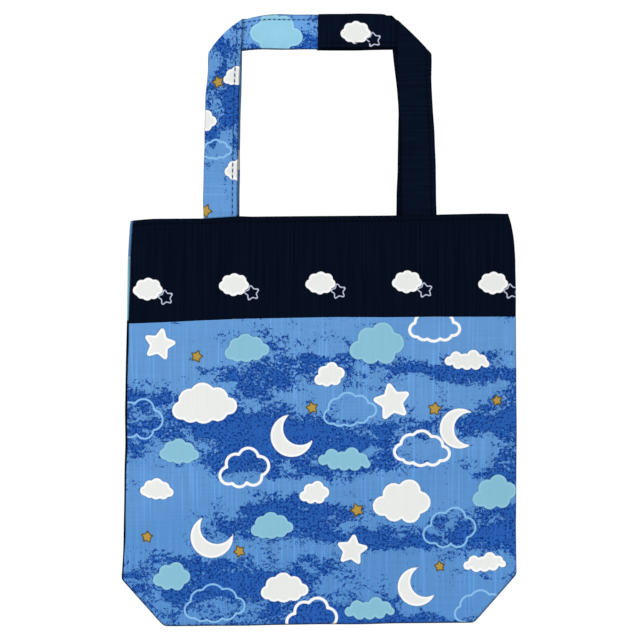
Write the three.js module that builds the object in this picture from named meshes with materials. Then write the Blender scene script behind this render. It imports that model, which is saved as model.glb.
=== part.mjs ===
// A small cotton tote bag with a boxed bottom, lying flat on its back.
// Millimetres. X runs to the right across the bag, Y runs up towards the handles, and Z stands off
// the surface that the bag lies on. The origin is on that surface, under the middle of the whole bag.
import * as THREE from 'three';

// Body
const BODY_WIDTH = 316; // laid flat, where it is widest
const BODY_HEIGHT = 326.6; // from the mouth to the bottom fold
const BAND_HEIGHT = 81.6; // of the contrasting band along the mouth
const GUSSET_DEPTH = 80; // of the boxed bottom when the bag stands open
const TUCK_SEAM = 2.8; // seam allowance past the inner edge of the folded bottom
const CORNER_SHARE = 0.885; // how far a folded corner is cut in, as a share of half the gusset
const SLANT = 0.0115; // rise of every crosswise edge for each millimetre to the right

// Cloth
const CLOTH = 1.4; // outer cloth and lining together
const CLEARANCE = 0.3; // between pieces that meet
const FOLD_HOLLOW = 0.8; // left open inside a folded edge
const SLIT = 0.4; // between the two folded halves of the bottom
const EDGE_ROUND = 0.35; // how much each face of the cloth draws in at a raw edge
const SEAM_ROLL = 2.4; // width of back cloth that shows past the front on the left
const BACK_SHOWS = 0.8; // width of back cloth that shows past the front along the lower folds
const LOFT = 12.6; // height of the front cloth above the surface where it is fullest
const FADE_LENGTH = 62; // over which the front rises from the bottom fold to its full height
const SIDE_FADE = 30; // over which its side edges come down from the lower corners
const ROLL_FADE = 26; // over which the rolled seam flattens above the lower corner

// Handles
const HANDLE_RISE = 161; // from the mouth to the top of the handles
const LEG_SPACING = 154; // between the middles of the front handle's two legs
const STRAP_WIDTH = 27;
const STRAP_THICKNESS = 1.8;
const STRAP_FOOT = 14; // length of strap inside the mouth
const STRAP_ROUND = 0.45; // how much each face of a strap draws in at its edges
const ROUND_WIDTH = 0.9; // width of that drawn in edge
const FOOT_FADE = 34; // over which a leg leaves the cloth beside it, beyond the mouth
const RUN_START = 0.33; // share of a top run's half over which its rise and sag come in
const FOLD_HOLD = 4; // how sharply a leg's shift and sag die away at its fold
const JOIN_OFFSET = -1; // where the two halves of a handle are joined, from its middle

// Side edges of the back cloth, down from the mouth. left and right are shares of half the width.
const SIDE_EDGES = [
  { down: 0.0, left: 0.942, right: 0.963 },
  { down: 0.03, left: 0.957, right: 0.972 },
  { down: 0.09, left: 0.967, right: 0.985 },
  { down: 0.25, left: 0.973, right: 0.992 },
  { down: 0.4, left: 0.982, right: 0.997 },
  { down: 0.55, left: 0.983, right: 1.002 },
  { down: 0.8, left: 0.991, right: 0.998 },
  { down: 0.88, left: 1.002, right: 0.996 },
];

// Seam between the front band and panel. drop is a share of the band's height.
const BAND_SEAM = [
  { across: 0.0, drop: 0.032 },
  { across: 0.12, drop: 0.018 },
  { across: 0.3, drop: -0.006 },
  { across: 0.55, drop: -0.008 },
  { across: 1.0, drop: 0.006 },
];

// Height of the front cloth along its middle, as a share of the loft.
const CROWN = [
  { down: 0.0, height: 1.0 },
  { down: 0.12, height: 0.97 },
  { down: 0.25, height: 0.93 },
  { down: 0.5, height: 0.96 },
  { down: 0.75, height: 0.92 },
  { down: 1.0, height: 0.8 },
];
const CROWN_POWER = 2.6; // how square the front's arch is from side to side
const SMOOTHING = 0.07; // how far a table is rounded off on each side of a place, as a share of it

// Each leg from its foot inside the mouth up to its fold. shift is sideways, to the right, as a
// share of the strap's width. sag is how far it hangs, as a share of the height of one strap.
const FRONT_LEFT_LEG = [
  { along: 0.0, shift: -0.045, sag: 0.0 },
  { along: 0.35, shift: -0.04, sag: 0.7 },
  { along: 0.7, shift: -0.01, sag: 0.8 },
  { along: 1.0, shift: 0.0, sag: 0.0 },
];
const FRONT_RIGHT_LEG = [
  { along: 0.0, shift: 0.08, sag: 0.0 },
  { along: 0.35, shift: 0.06, sag: 0.7 },
  { along: 0.7, shift: 0.01, sag: 0.8 },
  { along: 1.0, shift: 0.0, sag: 0.0 },
];
const BACK_LEFT_LEG = [
  { along: 0.0, shift: -0.05, sag: 0.0 },
  { along: 0.35, shift: -0.04, sag: 0.75 },
  { along: 0.7, shift: -0.01, sag: 0.85 },
  { along: 1.0, shift: 0.0, sag: 0.0 },
];
const BACK_RIGHT_LEG = [
  { along: 0.0, shift: 0.1, sag: 0.0 },
  { along: 0.25, shift: 0.14, sag: 0.6 },
  { along: 0.55, shift: 0.18, sag: 0.85 },
  { along: 0.8, shift: 0.07, sag: 0.6 },
  { along: 1.0, shift: 0.0, sag: 0.0 },
];

// Each half of a top run from the fold to the join. rise is up the bag, as a share of the strap's
// width, and sag is as it is for a leg.
const FRONT_RUN = [
  { along: 0.0, rise: 0.0, sag: 0.0 },
  { along: 0.33, rise: 0.14, sag: 0.0 },
  { along: 0.55, rise: 0.16, sag: 0.45 },
  { along: 0.8, rise: 0.17, sag: 0.92 },
  { along: 1.0, rise: 0.17, sag: 1.0 },
];
const BACK_RUN = [
  { along: 0.0, rise: 0.0, sag: 0.0 },
  { along: 0.2, rise: 0.04, sag: 0.0 },
  { along: 0.45, rise: 0.07, sag: 0.0 },
  { along: 1.0, rise: 0.07, sag: 0.0 },
];

// Where the corners of each handle lie. leg is the middle of the leg as a share of half the leg
// spacing, and drop is how far the run is below the handle's top there, in strap widths.
const FRONT_CORNERS = { left: { leg: -1.0, drop: 0.7 }, right: { leg: 1.0, drop: 0.68 } };
const BACK_CORNERS = { left: { leg: -1.02, drop: 0.6 }, right: { leg: 0.935, drop: 0.52 } };

// Mesh steps
const CORNER_STEPS = 4; // columns across each folded corner
const MIDDLE_STEPS = 14; // columns between the corners
const BAND_STEPS = 4;
const PANEL_STEPS = 11;
const WRAP_STEPS = 6; // round a folded edge
const TUCK_STEPS = 2;
const LEG_STEPS = 11;
const RUN_STEPS = 7;
const ROUNDING = 1e-6; // lengths this near each other are the same

const tuckDepth = GUSSET_DEPTH / 2;
const cornerCut = CORNER_SHARE * tuckDepth;
const mouthY = (BODY_HEIGHT - HANDLE_RISE) / 2;
const bottomY = mouthY - BODY_HEIGHT;
const halfWidth = BODY_WIDTH / 2;
const tuckEndY = bottomY + tuckDepth + TUCK_SEAM;

// A folded edge turns round an axis with the cloth's face at outerRadius and its lining at innerRadius.
const innerRadius = FOLD_HOLLOW / 2;
const outerRadius = CLOTH + innerRadius;
const backAxisZ = outerRadius;
const frontAxisZ = 3 * outerRadius + SLIT;
const foldTopZ = frontAxisZ + outerRadius;
const sideTopZ = 2 * CLOTH + CLEARANCE;

// A strap folded on itself at a corner lies on itself with the clearance between.
const strapRadius = (STRAP_THICKNESS + CLEARANCE) / 2;
const strapStep = STRAP_THICKNESS + CLEARANCE;

function mix(from, to, share) {
  return from + (to - from) * share;
}

function clamp(value) {
  return Math.min(Math.max(value, 0), 1);
}

function ease(share) {
  const s = clamp(share);
  return s * s * (3 - 2 * s);
}

// A table's column at a share of its first column, straight between rows.
function read(table, column, share) {
  const [key] = Object.keys(table[0]);
  const at = Math.min(Math.max(share, table[0][key]), table[table.length - 1][key]);
  const after = Math.max(table.findIndex((row) => row[key] >= at), 1);
  const [low, high] = [table[after - 1], table[after]];
  return mix(low[column], high[column], (at - low[key]) / (high[key] - low[key]));
}

// The same, rounded off between rows.
function readSmooth(table, column, share) {
  const offsets = [-1, -0.5, 0, 0.5, 1];
  const readings = offsets.map((offset) => read(table, column, share + offset * SMOOTHING));
  return readings.reduce((sum, reading) => sum + reading) / offsets.length;
}

// A closed thin body from two matching grids of points, the face and the lining.
function thinBody(columns, rows, face, lining) {
  const positions = [];
  for (const surface of [face, lining]) {
    for (let r = 0; r < rows; r += 1) {
      for (let c = 0; c < columns; c += 1) positions.push(...surface(c, r));
    }
  }
  const front = (c, r) => r * columns + c;
  const back = (c, r) => columns * rows + r * columns + c;
  const triangles = [];
  const quad = (a, b, c, d) => triangles.push(a, b, c, a, c, d);
  for (let r = 0; r + 1 < rows; r += 1) {
    for (let c = 0; c + 1 < columns; c += 1) {
      quad(front(c, r), front(c, r + 1), front(c + 1, r + 1), front(c + 1, r));
      quad(back(c, r), back(c + 1, r), back(c + 1, r + 1), back(c, r + 1));
    }
    const last = columns - 1;
    quad(front(0, r), back(0, r), back(0, r + 1), front(0, r + 1));
    quad(front(last, r), front(last, r + 1), back(last, r + 1), back(last, r));
  }
  for (let c = 0; c + 1 < columns; c += 1) {
    const last = rows - 1;
    quad(front(c, 0), front(c + 1, 0), back(c + 1, 0), back(c, 0));
    quad(front(c, last), back(c, last), back(c + 1, last), front(c + 1, last));
  }
  const geometry = new THREE.BufferGeometry();
  geometry.setAttribute('position', new THREE.Float32BufferAttribute(positions, 3));
  geometry.setIndex(triangles);
  if (volumeOf(positions, triangles) < 0) geometry.setIndex(triangles.reverse());
  geometry.computeVertexNormals();
  return geometry;
}

function volumeOf(positions, triangles) {
  const corner = (i) => new THREE.Vector3().fromArray(positions, 3 * triangles[i]);
  let sum = 0;
  for (let i = 0; i < triangles.length; i += 3) {
    sum += corner(i).dot(corner(i + 1).cross(corner(i + 2)));
  }
  return sum / 6;
}

// Body outline. y here is before the slant, which slanted adds at the end.
function slanted(x, y, z) {
  return [x, y + SLANT * x, z];
}

// How far the cloth is set in from the back's left edge, and from its lower folds.
const FRONT_INSET = { left: SEAM_ROLL + CLEARANCE, low: BACK_SHOWS };
const BACK_INSET = { left: 0, low: 0 };

function sides(y, inset) {
  const share = (mouthY - Math.max(y, bottomY + tuckDepth)) / BODY_HEIGHT;
  const left = -read(SIDE_EDGES, 'left', share) * halfWidth + inset.left;
  const right = read(SIDE_EDGES, 'right', share) * halfWidth;
  return { left, right };
}

// A column is a share of the way across, and an offset from there in millimetres.
function xAt(column, y, inset) {
  const { left, right } = sides(y, inset);
  return mix(left, right, column.share) + column.offset;
}

function isSide(column) {
  return column.offset === 0 && (column.share === 0 || column.share === 1);
}

// Slope of a folded corner, and how much longer a step across it is than one square to it.
const cornerSlope = tuckDepth / cornerCut;
const cornerStretch = Math.hypot(1, cornerSlope);

// The lowest point of the cloth in a column, on the bottom fold or on a folded corner.
function foldEdge(x, inset) {
  const { left, right } = sides(bottomY, BACK_INSET);
  const run = Math.min(x - left, right - x);
  const corner = bottomY + tuckDepth - run * cornerSlope + inset.low * cornerStretch;
  return Math.max(bottomY + inset.low, corner);
}

function stretchAt(x, inset) {
  return foldEdge(x, inset) > bottomY + inset.low + ROUNDING ? cornerStretch : 1;
}

function foldAxis(x, inset) {
  return foldEdge(x, inset) + outerRadius * stretchAt(x, inset);
}

// Columns are close together across the folded corners and even between them. leftEdge and
// rightEdge are widths along the sides with a height of their own, such as the rolled seam.
function columnsOf(inset, leftEdge, rightEdge) {
  const { left, right } = sides(bottomY, inset);
  const outer = sides(bottomY, BACK_INSET);
  const cut = (tuckDepth + inset.low * (cornerStretch - 1)) / cornerSlope;
  const first = (outer.left + cut - left) / (right - left);
  const last = (outer.right - cut - left) / (right - left);
  const step = CLEARANCE / 2;
  const columns = [0, leftEdge, leftEdge + step].map((offset) => ({ share: 0, offset }));
  const addShare = (share) => columns.push({ share, offset: 0 });
  for (let i = 1; i < CORNER_STEPS; i += 1) addShare((first * i) / CORNER_STEPS);
  for (let i = 0; i <= MIDDLE_STEPS; i += 1) addShare(mix(first, last, i / MIDDLE_STEPS));
  for (let i = 1; i < CORNER_STEPS; i += 1) addShare(mix(last, 1, i / CORNER_STEPS));
  const rightOffsets = rightEdge > 0 ? [-rightEdge - step, -rightEdge, 0] : [0];
  for (const offset of rightOffsets) columns.push({ share: 1, offset });
  return columns;
}

// Height of the front cloth's face.
function frontFaceZ(x, y) {
  const { left, right } = sides(y, FRONT_INSET);
  const offCentre = Math.abs((2 * (x - left)) / (right - left) - 1);
  const arch = 1 - clamp(offCentre) ** CROWN_POWER;
  const crown = LOFT * readSmooth(CROWN, 'height', (mouthY - y) / BODY_HEIGHT);
  const full = mix(sideTopZ, crown, arch);
  const { left: outerLeft, right: outerRight } = sides(bottomY, BACK_INSET);
  const above = y - (bottomY + FRONT_INSET.low + outerRadius);
  const run = Math.min(x - outerLeft, outerRight - x);
  const corner = (y - bottomY - tuckDepth + run * cornerSlope) / cornerStretch;
  const fromFold = Math.min(above, corner - FRONT_INSET.low - outerRadius);
  return mix(foldTopZ, full, ease(fromFold / mix(SIDE_FADE, FADE_LENGTH, arch)));
}

// Height of the rolled seam on the left of the back cloth, over its lining.
function rollHeight(x, y) {
  const { left } = sides(y, BACK_INSET);
  const onRoll = 1 - clamp((x - left - SEAM_ROLL) / (CLEARANCE / 2));
  const aboveCorner = y - bottomY - tuckDepth;
  return onRoll * (sideTopZ - CLOTH - EDGE_ROUND) * ease(aboveCorner / ROLL_FADE);
}

function seamY(across, isFront) {
  const drop = isFront ? readSmooth(BAND_SEAM, 'drop', across) * BAND_HEIGHT : 0;
  return mouthY - BAND_HEIGHT - drop;
}

// A place in the front cloth. Its face is up, and along each side it turns down to the back cloth.
function frontPoint(column, y, depth) {
  const x = xAt(column, y, FRONT_INSET);
  const drawnIn = isSide(column) ? EDGE_ROUND : 0;
  const face = frontFaceZ(x, y);
  if (depth === 0) return slanted(x, y, face - drawnIn);
  const isEdge = Math.abs(column.offset) === CLOTH || isSide(column);
  const turnedDown = isEdge && y > tuckEndY + CLEARANCE;
  const lining = turnedDown ? CLOTH + CLEARANCE : face - CLOTH;
  return slanted(x, y, lining + drawnIn);
}

// A place in the back cloth, whose face is down.
function backPoint(column, y, depth) {
  const x = xAt(column, y, BACK_INSET);
  const drawnIn = isSide(column) ? EDGE_ROUND : 0;
  if (depth === 0) return slanted(x, y, drawnIn);
  return slanted(x, y, CLOTH - drawnIn + rollHeight(x, y));
}

const FRONT_COLUMNS = columnsOf(FRONT_INSET, CLOTH, CLOTH);
const BACK_COLUMNS = columnsOf(BACK_INSET, SEAM_ROLL, 0);

// A panel runs down from its seam, round the bottom fold and up inside as half of the tuck.
function panel(isFront) {
  const inset = isFront ? FRONT_INSET : BACK_INSET;
  const columns = isFront ? FRONT_COLUMNS : BACK_COLUMNS;
  const point = isFront ? frontPoint : backPoint;
  const axisZ = isFront ? frontAxisZ : backAxisZ;
  const up = isFront ? 1 : -1;
  const rows = PANEL_STEPS + WRAP_STEPS + TUCK_STEPS + 1;
  const place = (depth) => (c, r) => {
    const column = columns[c];
    const footX = xAt(column, bottomY, inset);
    const axisY = foldAxis(footX, inset);
    if (r < PANEL_STEPS) {
      const top = seamY(column.share, isFront) - CLEARANCE / 2;
      return point(column, mix(top, axisY, r / PANEL_STEPS), depth);
    }
    const drawnIn = isSide(column) ? EDGE_ROUND : 0;
    const radius = depth === 0 ? outerRadius - drawnIn : innerRadius + drawnIn;
    const turn = (Math.PI * Math.min(r - PANEL_STEPS, WRAP_STEPS)) / WRAP_STEPS;
    const wrapY = axisY - radius * stretchAt(footX, inset) * Math.sin(turn);
    const tuckShare = Math.max(r - PANEL_STEPS - WRAP_STEPS, 0) / TUCK_STEPS;
    const y = mix(wrapY, Math.max(tuckEndY, axisY + CLOTH), tuckShare);
    return slanted(footX, y, axisZ + up * radius * Math.cos(turn));
  };
  return thinBody(columns.length, rows, place(0), place(1));
}

function band(isFront) {
  const columns = isFront ? FRONT_COLUMNS : BACK_COLUMNS;
  const point = isFront ? frontPoint : backPoint;
  const place = (depth) => (c, r) => {
    const low = seamY(columns[c].share, isFront) + CLEARANCE / 2;
    return point(columns[c], mix(mouthY, low, r / BAND_STEPS), depth);
  };
  return thinBody(columns.length, BAND_STEPS + 1, place(0), place(1));
}

// Half of a handle: a leg up from inside the mouth, a square corner folded on the diagonal, and
// half of the top run. side is -1 for the left half and 1 for the right half.
function handleHalf({ side, isFront, corner, legTable, runTable }) {
  const legX = (corner.leg * LEG_SPACING) / 2;
  const runY = mouthY + HANDLE_RISE - corner.drop * STRAP_WIDTH;
  const foldY = runY - (Math.PI * strapRadius) / Math.SQRT2;
  const axisZ = STRAP_THICKNESS / 2 + strapRadius + (isFront ? 2 * strapStep : 0);
  const footY = mouthY + SLANT * legX - STRAP_FOOT;
  const joinX = JOIN_OFFSET + (side * CLEARANCE) / 2;
  const wide = STRAP_WIDTH / 2;
  const offsets = [-wide, ROUND_WIDTH - wide, wide - ROUND_WIDTH, wide];
  const rows = LEG_STEPS + WRAP_STEPS + RUN_STEPS + 1;

  // The middle of the leg's thickness: against the cloth inside the mouth, then free to the fold.
  function legZ(x, y, sag) {
    const fromMouth = y - SLANT * x - mouthY;
    const seat = isFront ? frontFaceZ(x, mouthY + Math.min(fromMouth, 0)) - CLOTH : CLOTH;
    const fromSeat = CLEARANCE + STRAP_THICKNESS / 2;
    const held = seat + (isFront ? -fromSeat : fromSeat);
    return mix(held, axisZ + strapRadius - sag, ease(fromMouth / FOOT_FADE));
  }

  const place = (depth) => (c, r) => {
    const outward = offsets[c];
    const isEdge = c === 0 || c === offsets.length - 1;
    const half = STRAP_THICKNESS / 2 - (isEdge ? STRAP_ROUND : 0);
    const reach = depth === 0 ? half : -half;
    const startX = legX + side * outward;
    const startY = foldY - outward;
    if (r < LEG_STEPS) {
      const along = r / LEG_STEPS;
      const free = 1 - along ** FOLD_HOLD;
      const x = startX + readSmooth(legTable, 'shift', along) * STRAP_WIDTH * free;
      const y = mix(footY, startY, along);
      return [x, y, legZ(x, y, readSmooth(legTable, 'sag', along) * strapStep * free) + reach];
    }
    const turn = (Math.PI * Math.min(r - LEG_STEPS, WRAP_STEPS)) / WRAP_STEPS;
    const alongAxis = (turn * strapRadius) / Math.SQRT2;
    const radius = strapRadius + reach;
    const outTurn = (radius * Math.sin(turn)) / Math.SQRT2;
    const wrapX = startX + side * (outTurn - alongAxis);
    const wrapY = startY + alongAxis + outTurn;
    const along = Math.max(r - LEG_STEPS - WRAP_STEPS, 0) / RUN_STEPS;
    const begun = ease(along / RUN_START);
    const rise = readSmooth(runTable, 'rise', along) * STRAP_WIDTH * begun;
    const sag = readSmooth(runTable, 'sag', along) * strapStep * begun;
    return [mix(wrapX, joinX, along), wrapY + rise, axisZ + radius * Math.cos(turn) - sag];
  };
  return thinBody(offsets.length, rows, place(0), place(1));
}

const printCloth = { color: 0x5c92cd, roughness: 0.85, metalness: 0 };
const navyCloth = { color: 0x0b1222, roughness: 0.85, metalness: 0 };

const bag = new THREE.Group();

function add(name, geometry, finish) {
  const mesh = new THREE.Mesh(geometry, new THREE.MeshStandardMaterial(finish));
  mesh.name = name;
  bag.add(mesh);
}

add('front_panel', panel(true), printCloth);
add('front_band', band(true), navyCloth);
add('back_panel', panel(false), navyCloth);
add('back_band', band(false), printCloth);

const halves = [
  ['front_handle_left', -1, true, FRONT_CORNERS.left, FRONT_LEFT_LEG, FRONT_RUN, printCloth],
  ['front_handle_right', 1, true, FRONT_CORNERS.right, FRONT_RIGHT_LEG, FRONT_RUN, navyCloth],
  ['back_handle_left', -1, false, BACK_CORNERS.left, BACK_LEFT_LEG, BACK_RUN, printCloth],
  ['back_handle_right', 1, false, BACK_CORNERS.right, BACK_RIGHT_LEG, BACK_RUN, navyCloth],
];
for (const [name, side, isFront, corner, legTable, runTable, finish] of halves) {
  add(name, handleHalf({ side, isFront, corner, legTable, runTable }), finish);
}

export default bag;
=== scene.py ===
# A small cotton tote bag with a boxed bottom. It lies flat on its back, with both handles laid out.
# Lengths are in millimetres and MM turns them into metres. X runs across the bag, Y runs up it
# towards the handles, and Z stands off the surface that it lies on.
import math

import bpy
import numpy as np
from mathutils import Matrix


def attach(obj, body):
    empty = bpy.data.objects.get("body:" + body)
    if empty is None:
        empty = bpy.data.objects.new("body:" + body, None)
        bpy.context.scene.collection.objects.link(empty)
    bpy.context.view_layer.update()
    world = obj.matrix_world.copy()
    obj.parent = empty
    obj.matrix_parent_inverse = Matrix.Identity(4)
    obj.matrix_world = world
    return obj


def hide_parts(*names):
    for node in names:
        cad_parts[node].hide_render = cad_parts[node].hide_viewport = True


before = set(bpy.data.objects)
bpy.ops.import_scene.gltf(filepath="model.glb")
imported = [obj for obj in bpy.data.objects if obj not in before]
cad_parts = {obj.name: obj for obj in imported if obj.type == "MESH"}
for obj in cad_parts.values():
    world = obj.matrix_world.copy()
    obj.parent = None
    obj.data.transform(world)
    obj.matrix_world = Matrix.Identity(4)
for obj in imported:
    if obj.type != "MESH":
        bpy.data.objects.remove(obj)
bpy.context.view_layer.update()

MM = 0.001

# Body
BODY_WIDTH = 316.0
BODY_HEIGHT = 327.2
BAND_HEIGHT = 81.6
GUSSET_DEPTH = 76.0
TUCK_SEAM = 4.8
CORNER_SHARE = 0.885
CORNER_ROUND = 1.1
MOUTH_SHARE = 0.98
SLANT = 0.0115

# Cloth
CLOTH = 1.4
CLEARANCE = 0.3
SEAM_GAP = 0.06
FOLD_HOLLOW = 0.8
SLIT = 0.4
BACK_SHOWS = 1.0
BACK_SHORTER = 0.4
LOFT = 12.6
FADE_LENGTH = 62.0
SIDE_FADE = 30.0
ROLL_FADE = 26.0
CROWN_POWER = 2.6
SIDE_REST = 26.0
FOLD_REST = 22.0
SIDE_ROUND = 1.1
LINING_ROUND = 0.5
WALL_FADE = 6.0
SEAM_PUCKERS = 7.0
MOUTH_PUCKERS = 9.0
SMOOTHING = 0.07
SIDE_SMOOTHING = 0.01
MOUTH_SMOOTHING = 0.012

# Handles
HANDLE_RISE = 161.0
LEG_SPACING = 154.0
STRAP_WIDTH = 27.5
STRAP_THICKNESS = 1.8
STRAP_FOOT = 14.0
FOOT_FADE = 34.0
JOIN_OFFSET = -1.0
BACK_JOIN_SHIFT = 1.2
FOLD_HOLD = 4
BELLY_REACH = 14.0
STRAP_SEED = 40

# Stitching and hem. A groove has a depth and a width, and a sink is how far a thread's middle
# lies in the cloth.
STITCH_INSET = 4.2
STITCH_PITCH = 4.5
STITCH_LENGTH = 3.4
HEM_FIRST_STITCH = 2.0
STRAP_FIRST_STITCH = 1.5
THREAD_RADIUS = 0.42
THREAD_ROOM = 0.3
HEM_HEIGHT = 6.0
HEM_FADE = 5.0
HEM_THICKNESS = 0.3
HEM_RIM = 0.8
HEM_GROOVE = (0.34, 0.9)
STRAP_GROOVE = (0.3, 0.8)
HEM_SINK = 0.25
BACK_HEM_SINK = 0.56
STRAP_SINK = 0.22

# Mesh
FACE_STEP = 1.2
BACK_STEP = 1.8
LINING_STEP = 4.0
LINING_RIM = [0.0, 0.3, 0.8, 1.4, 1.7]
STRAP_STEP = 1.1
RIM_OFFSETS = [0.0, 0.07, 0.22, 0.45, 0.75, 1.2, 1.9]
BACK_RIM = sorted(RIM_OFFSETS + [0.95, 1.4, 1.65, 2.1, 2.35, 2.6])
STRAP_RIM = [0.0, 0.08, 0.25, 0.5, 0.8, 1.0, 1.15, 1.3, 1.5, 1.8]
TUCK_ROWS = [0.08, 0.5, 1.0]
WRAP_STEPS = 10
LINING_WRAP_STEPS = 6
THREAD_SIDES = 6
EDGE_WALL = 0.3

# Scales of the distances from a strap's edges, along which shade is painted on them. The lower one
# darkens more.
STITCHED_NEARNESS = 0.55
PLAIN_NEARNESS = 1.1
JOIN_NEARNESS = 1.2

# Camera, light and floor. Turns are in degrees.
VIEW_WIDTH = 512.0
CAMERA_DISTANCE = 2400.0
VIEW_MIDDLE = (0.4, 0.0, 6.0)
ROUND_LIGHT = 0.74
LOW_LIGHT = 0.25
HORIZON = 0.08
SUN_STRENGTH = 1.3
SUN_SPREAD = 14
SUN_TURN = (-38, -43, 0)
FLOOR_HALF = 3000.0
FLOOR_DROP = 0.1
FLOOR_GLOW = 1.02

TUCK_DEPTH = GUSSET_DEPTH / 2
CORNER_CUT = CORNER_SHARE * TUCK_DEPTH
CORNER_SLOPE = TUCK_DEPTH / CORNER_CUT
CORNER_STRETCH = math.hypot(1, CORNER_SLOPE)
MOUTH_Y = (BODY_HEIGHT - HANDLE_RISE) / 2
BOTTOM_Y = MOUTH_Y - BODY_HEIGHT
HALF_WIDTH = BODY_WIDTH / 2
TUCK_END_Y = BOTTOM_Y + TUCK_DEPTH + TUCK_SEAM
INNER_RADIUS = FOLD_HOLLOW / 2
OUTER_RADIUS = CLOTH + INNER_RADIUS
BACK_AXIS_Z = OUTER_RADIUS
FRONT_AXIS_Z = 3 * OUTER_RADIUS + SLIT
FOLD_TOP_Z = FRONT_AXIS_Z + OUTER_RADIUS
SIDE_TOP_Z = 2 * CLOTH + CLEARANCE
STRAP_RADIUS = (STRAP_THICKNESS + CLEARANCE) / 2
STRAP_RISE = STRAP_THICKNESS + CLEARANCE
HALF_WRAP = math.pi * STRAP_RADIUS / math.sqrt(2)
RIM_LIMIT = (CLOTH - EDGE_WALL) / 2

# Side edges of the back cloth, down from the mouth, as shares of half the width.
SIDE_EDGES = {
    "down": [0.0, 0.01, 0.022, 0.06, 0.11, 0.25, 0.4, 0.55, 0.8, 0.88],
    "left": [0.956, 0.961, 0.963, 0.968, 0.972, 0.978, 0.985, 0.986, 0.994, 1.004],
    "right": [0.955, 0.964, 0.972, 0.986, 0.994, 0.996, 0.998, 1.0, 0.997, 0.997],
}
# Width of back cloth that shows past the front on the left.
SEAM_ROLL = {
    "down": [0.0, 0.04, 0.1, 0.16, 0.25, 0.5, 0.88],
    "width": [1.5, 2.4, 2.8, 2.0, 1.4, 1.2, 0.9],
}
# Rise of the mouth's edge over a straight line, across the bag.
MOUTH_EDGE = {
    "across": [0.0, 0.02, 0.05, 0.19, 0.285, 0.3, 0.45, 0.68, 0.8, 0.95, 1.0],
    "rise": [-1.6, -0.9, -0.5, -0.9, 0.7, 0.1, 0.0, -0.3, 0.0, 0.7, 0.3],
}
# Drop of the seam between the front band and panel, as a share of the band's height.
BAND_SEAM = {
    "across": [0.0, 0.12, 0.3, 0.55, 1.0],
    "drop": [0.032, 0.018, -0.006, -0.008, 0.006],
}
# Height of the front cloth along its middle, as a share of the loft.
CROWN = {
    "down": [0.0, 0.12, 0.25, 0.5, 0.75, 1.0],
    "height": [1.0, 0.97, 0.93, 0.96, 0.92, 0.8],
}
# Legs and top runs of the handles. Shift and rise are shares of a strap's width, sag of STRAP_RISE.
FRONT_LEFT_LEG = {
    "along": [0.0, 0.28, 0.53, 0.74, 0.86, 1.0],
    "shift": [-0.155, -0.15, -0.13, -0.13, -0.13, 0.0],
    "sag": [0.0, 0.6, 0.8, 0.8, 0.6, 0.0],
}
FRONT_RIGHT_LEG = {
    "along": [0.0, 0.34, 0.54, 0.72, 0.86, 1.0],
    "shift": [0.157, 0.128, 0.1, 0.05, 0.0, 0.0],
    "sag": [0.0, 0.7, 0.8, 0.8, 0.5, 0.0],
}
BACK_LEFT_LEG = {
    "along": [0.0, 0.5, 1.0],
    "shift": [-0.09, -0.08, 0.0],
    "sag": [0.0, 0.8, 0.0],
}
BACK_RIGHT_LEG = {
    "along": [0.0, 0.34, 0.52, 0.62, 0.73, 0.85, 1.0],
    "shift": [0.126, 0.182, 0.222, 0.232, 0.18, 0.07, 0.02],
    "sag": [0.0, 0.7, 0.85, 0.85, 0.8, 0.5, 0.0],
}
FRONT_LEFT_RUN = {
    "along": [0.0, 0.17, 0.25, 0.36, 0.5, 0.8, 1.0],
    "rise": [0.0, 0.08, 0.13, 0.14, 0.14, 0.135, 0.13],
    "sag": [0.0, 0.0, 0.0, 0.1, 0.4, 0.92, 1.0],
    "start": 0.1,
}
FRONT_RIGHT_RUN = {
    "along": [0.0, 0.12, 0.33, 0.55, 0.8, 1.0],
    "rise": [0.11, 0.17, 0.185, 0.185, 0.185, 0.175],
    "sag": [0.0, 0.0, 0.0, 0.45, 0.92, 1.0],
    "start": 0.14,
}
BACK_LEFT_RUN = {
    "along": [0.0, 0.2, 0.4, 1.0],
    "rise": [0.0, 0.06, 0.12, 0.13],
    "sag": [0.0, 0.0, 0.0, 0.0],
    "start": 0.1,
}
BACK_RIGHT_RUN = {
    "along": [0.0, 0.3, 0.6, 1.0],
    "rise": [0.02, 0.0, -0.02, -0.02],
    "sag": [0.0, 0.0, 0.0, 0.0],
    "start": 0.1,
}
# The halves of the handles. A leg's place is a share of half their spacing, a run's drop one of a
# strap's width, and the bulge of a folded corner a length.
STRAPS = {
    # side, in front, leg's place, run's drop, leg, run, bulge
    "front_handle_left": (-1, True, -0.974, 0.62, FRONT_LEFT_LEG, FRONT_LEFT_RUN, 2.4),
    "front_handle_right": (1, True, 0.985, 0.645, FRONT_RIGHT_LEG, FRONT_RIGHT_RUN, 0.6),
    "back_handle_left": (-1, False, -0.978, 0.62, BACK_LEFT_LEG, BACK_LEFT_RUN, 1.4),
    "back_handle_right": (1, False, 0.926, 0.5, BACK_RIGHT_LEG, BACK_RIGHT_RUN, 0.3),
}

# Soft hills and dents of the front cloth. Sizes are radii along and across, and turn is in degrees.
DENTS = [
    # x, y, along, across, turn, height
    (-70, 52, 26, 60, 0, 0.5),
    (76, 50, 24, 64, 0, 0.6),
    (-4, 40, 38, 70, 0, -0.7),
    (-118, -30, 60, 20, 64, 0.5),
    (110, -54, 70, 22, 118, 0.5),
    (-40, -96, 80, 34, 22, -0.7),
    (60, -128, 90, 30, 158, 0.6),
    (-90, -168, 60, 20, 38, 0.5),
    (118, -176, 56, 18, 140, 0.4),
    (4, -196, 110, 20, 2, -0.5),
]
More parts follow.
